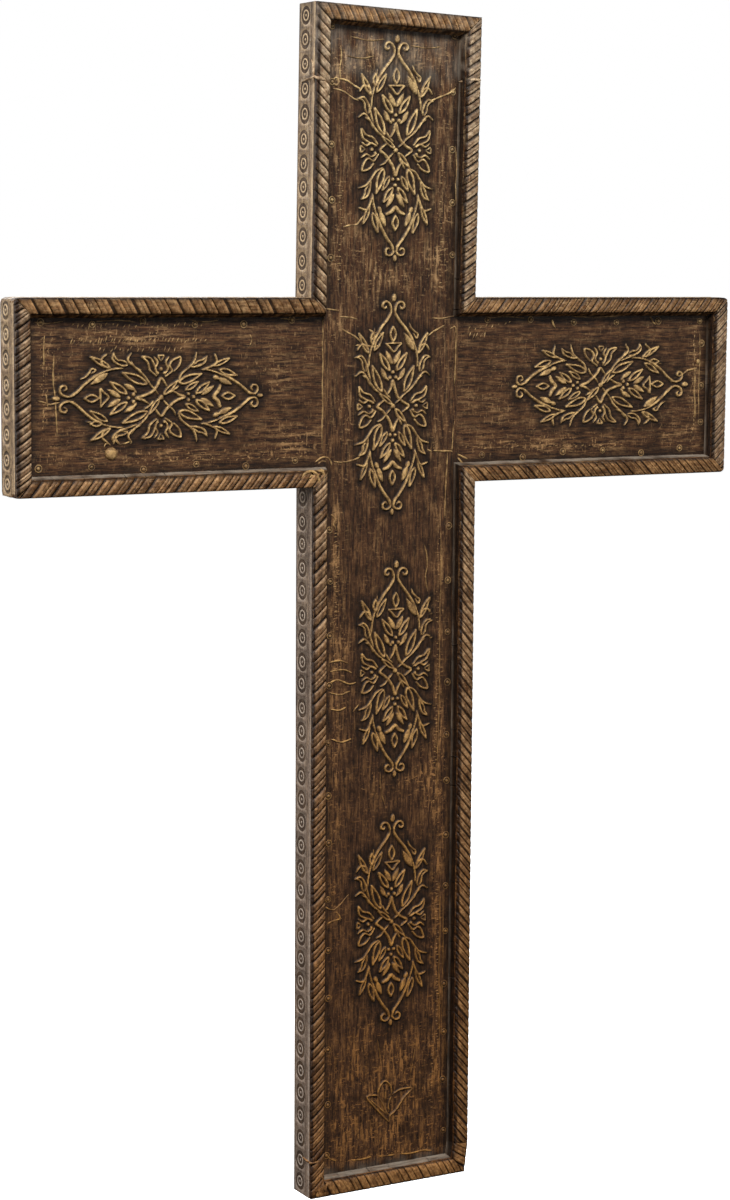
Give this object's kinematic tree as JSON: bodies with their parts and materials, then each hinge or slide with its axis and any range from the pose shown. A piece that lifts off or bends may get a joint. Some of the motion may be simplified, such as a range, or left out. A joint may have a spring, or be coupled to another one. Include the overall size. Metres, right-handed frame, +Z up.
{
  "type": "carved wooden wall cross",
  "caption": "Latin cross for a wall, with a sunk panel, a rope moulding all round its front edge and carved arabesque medallions along its limbs.",
  "frame": {"origin": "on the flat back, at the centre of the crossing", "axes": "+Z up along the upright, +Y into the wall, +X to the right as seen from the front"},
  "size_m": [0.872, 0.0415, 1.2855],
  "materials": {
    "carved_wood": "dark brown stain, with dull gold rubbed onto the high carving and the grain"
  },
  "bodies": {
    "root": {"upright": "carved_wood", "left_arm": "carved_wood", "right_arm": "carved_wood"}
  },
  "joints": []
}
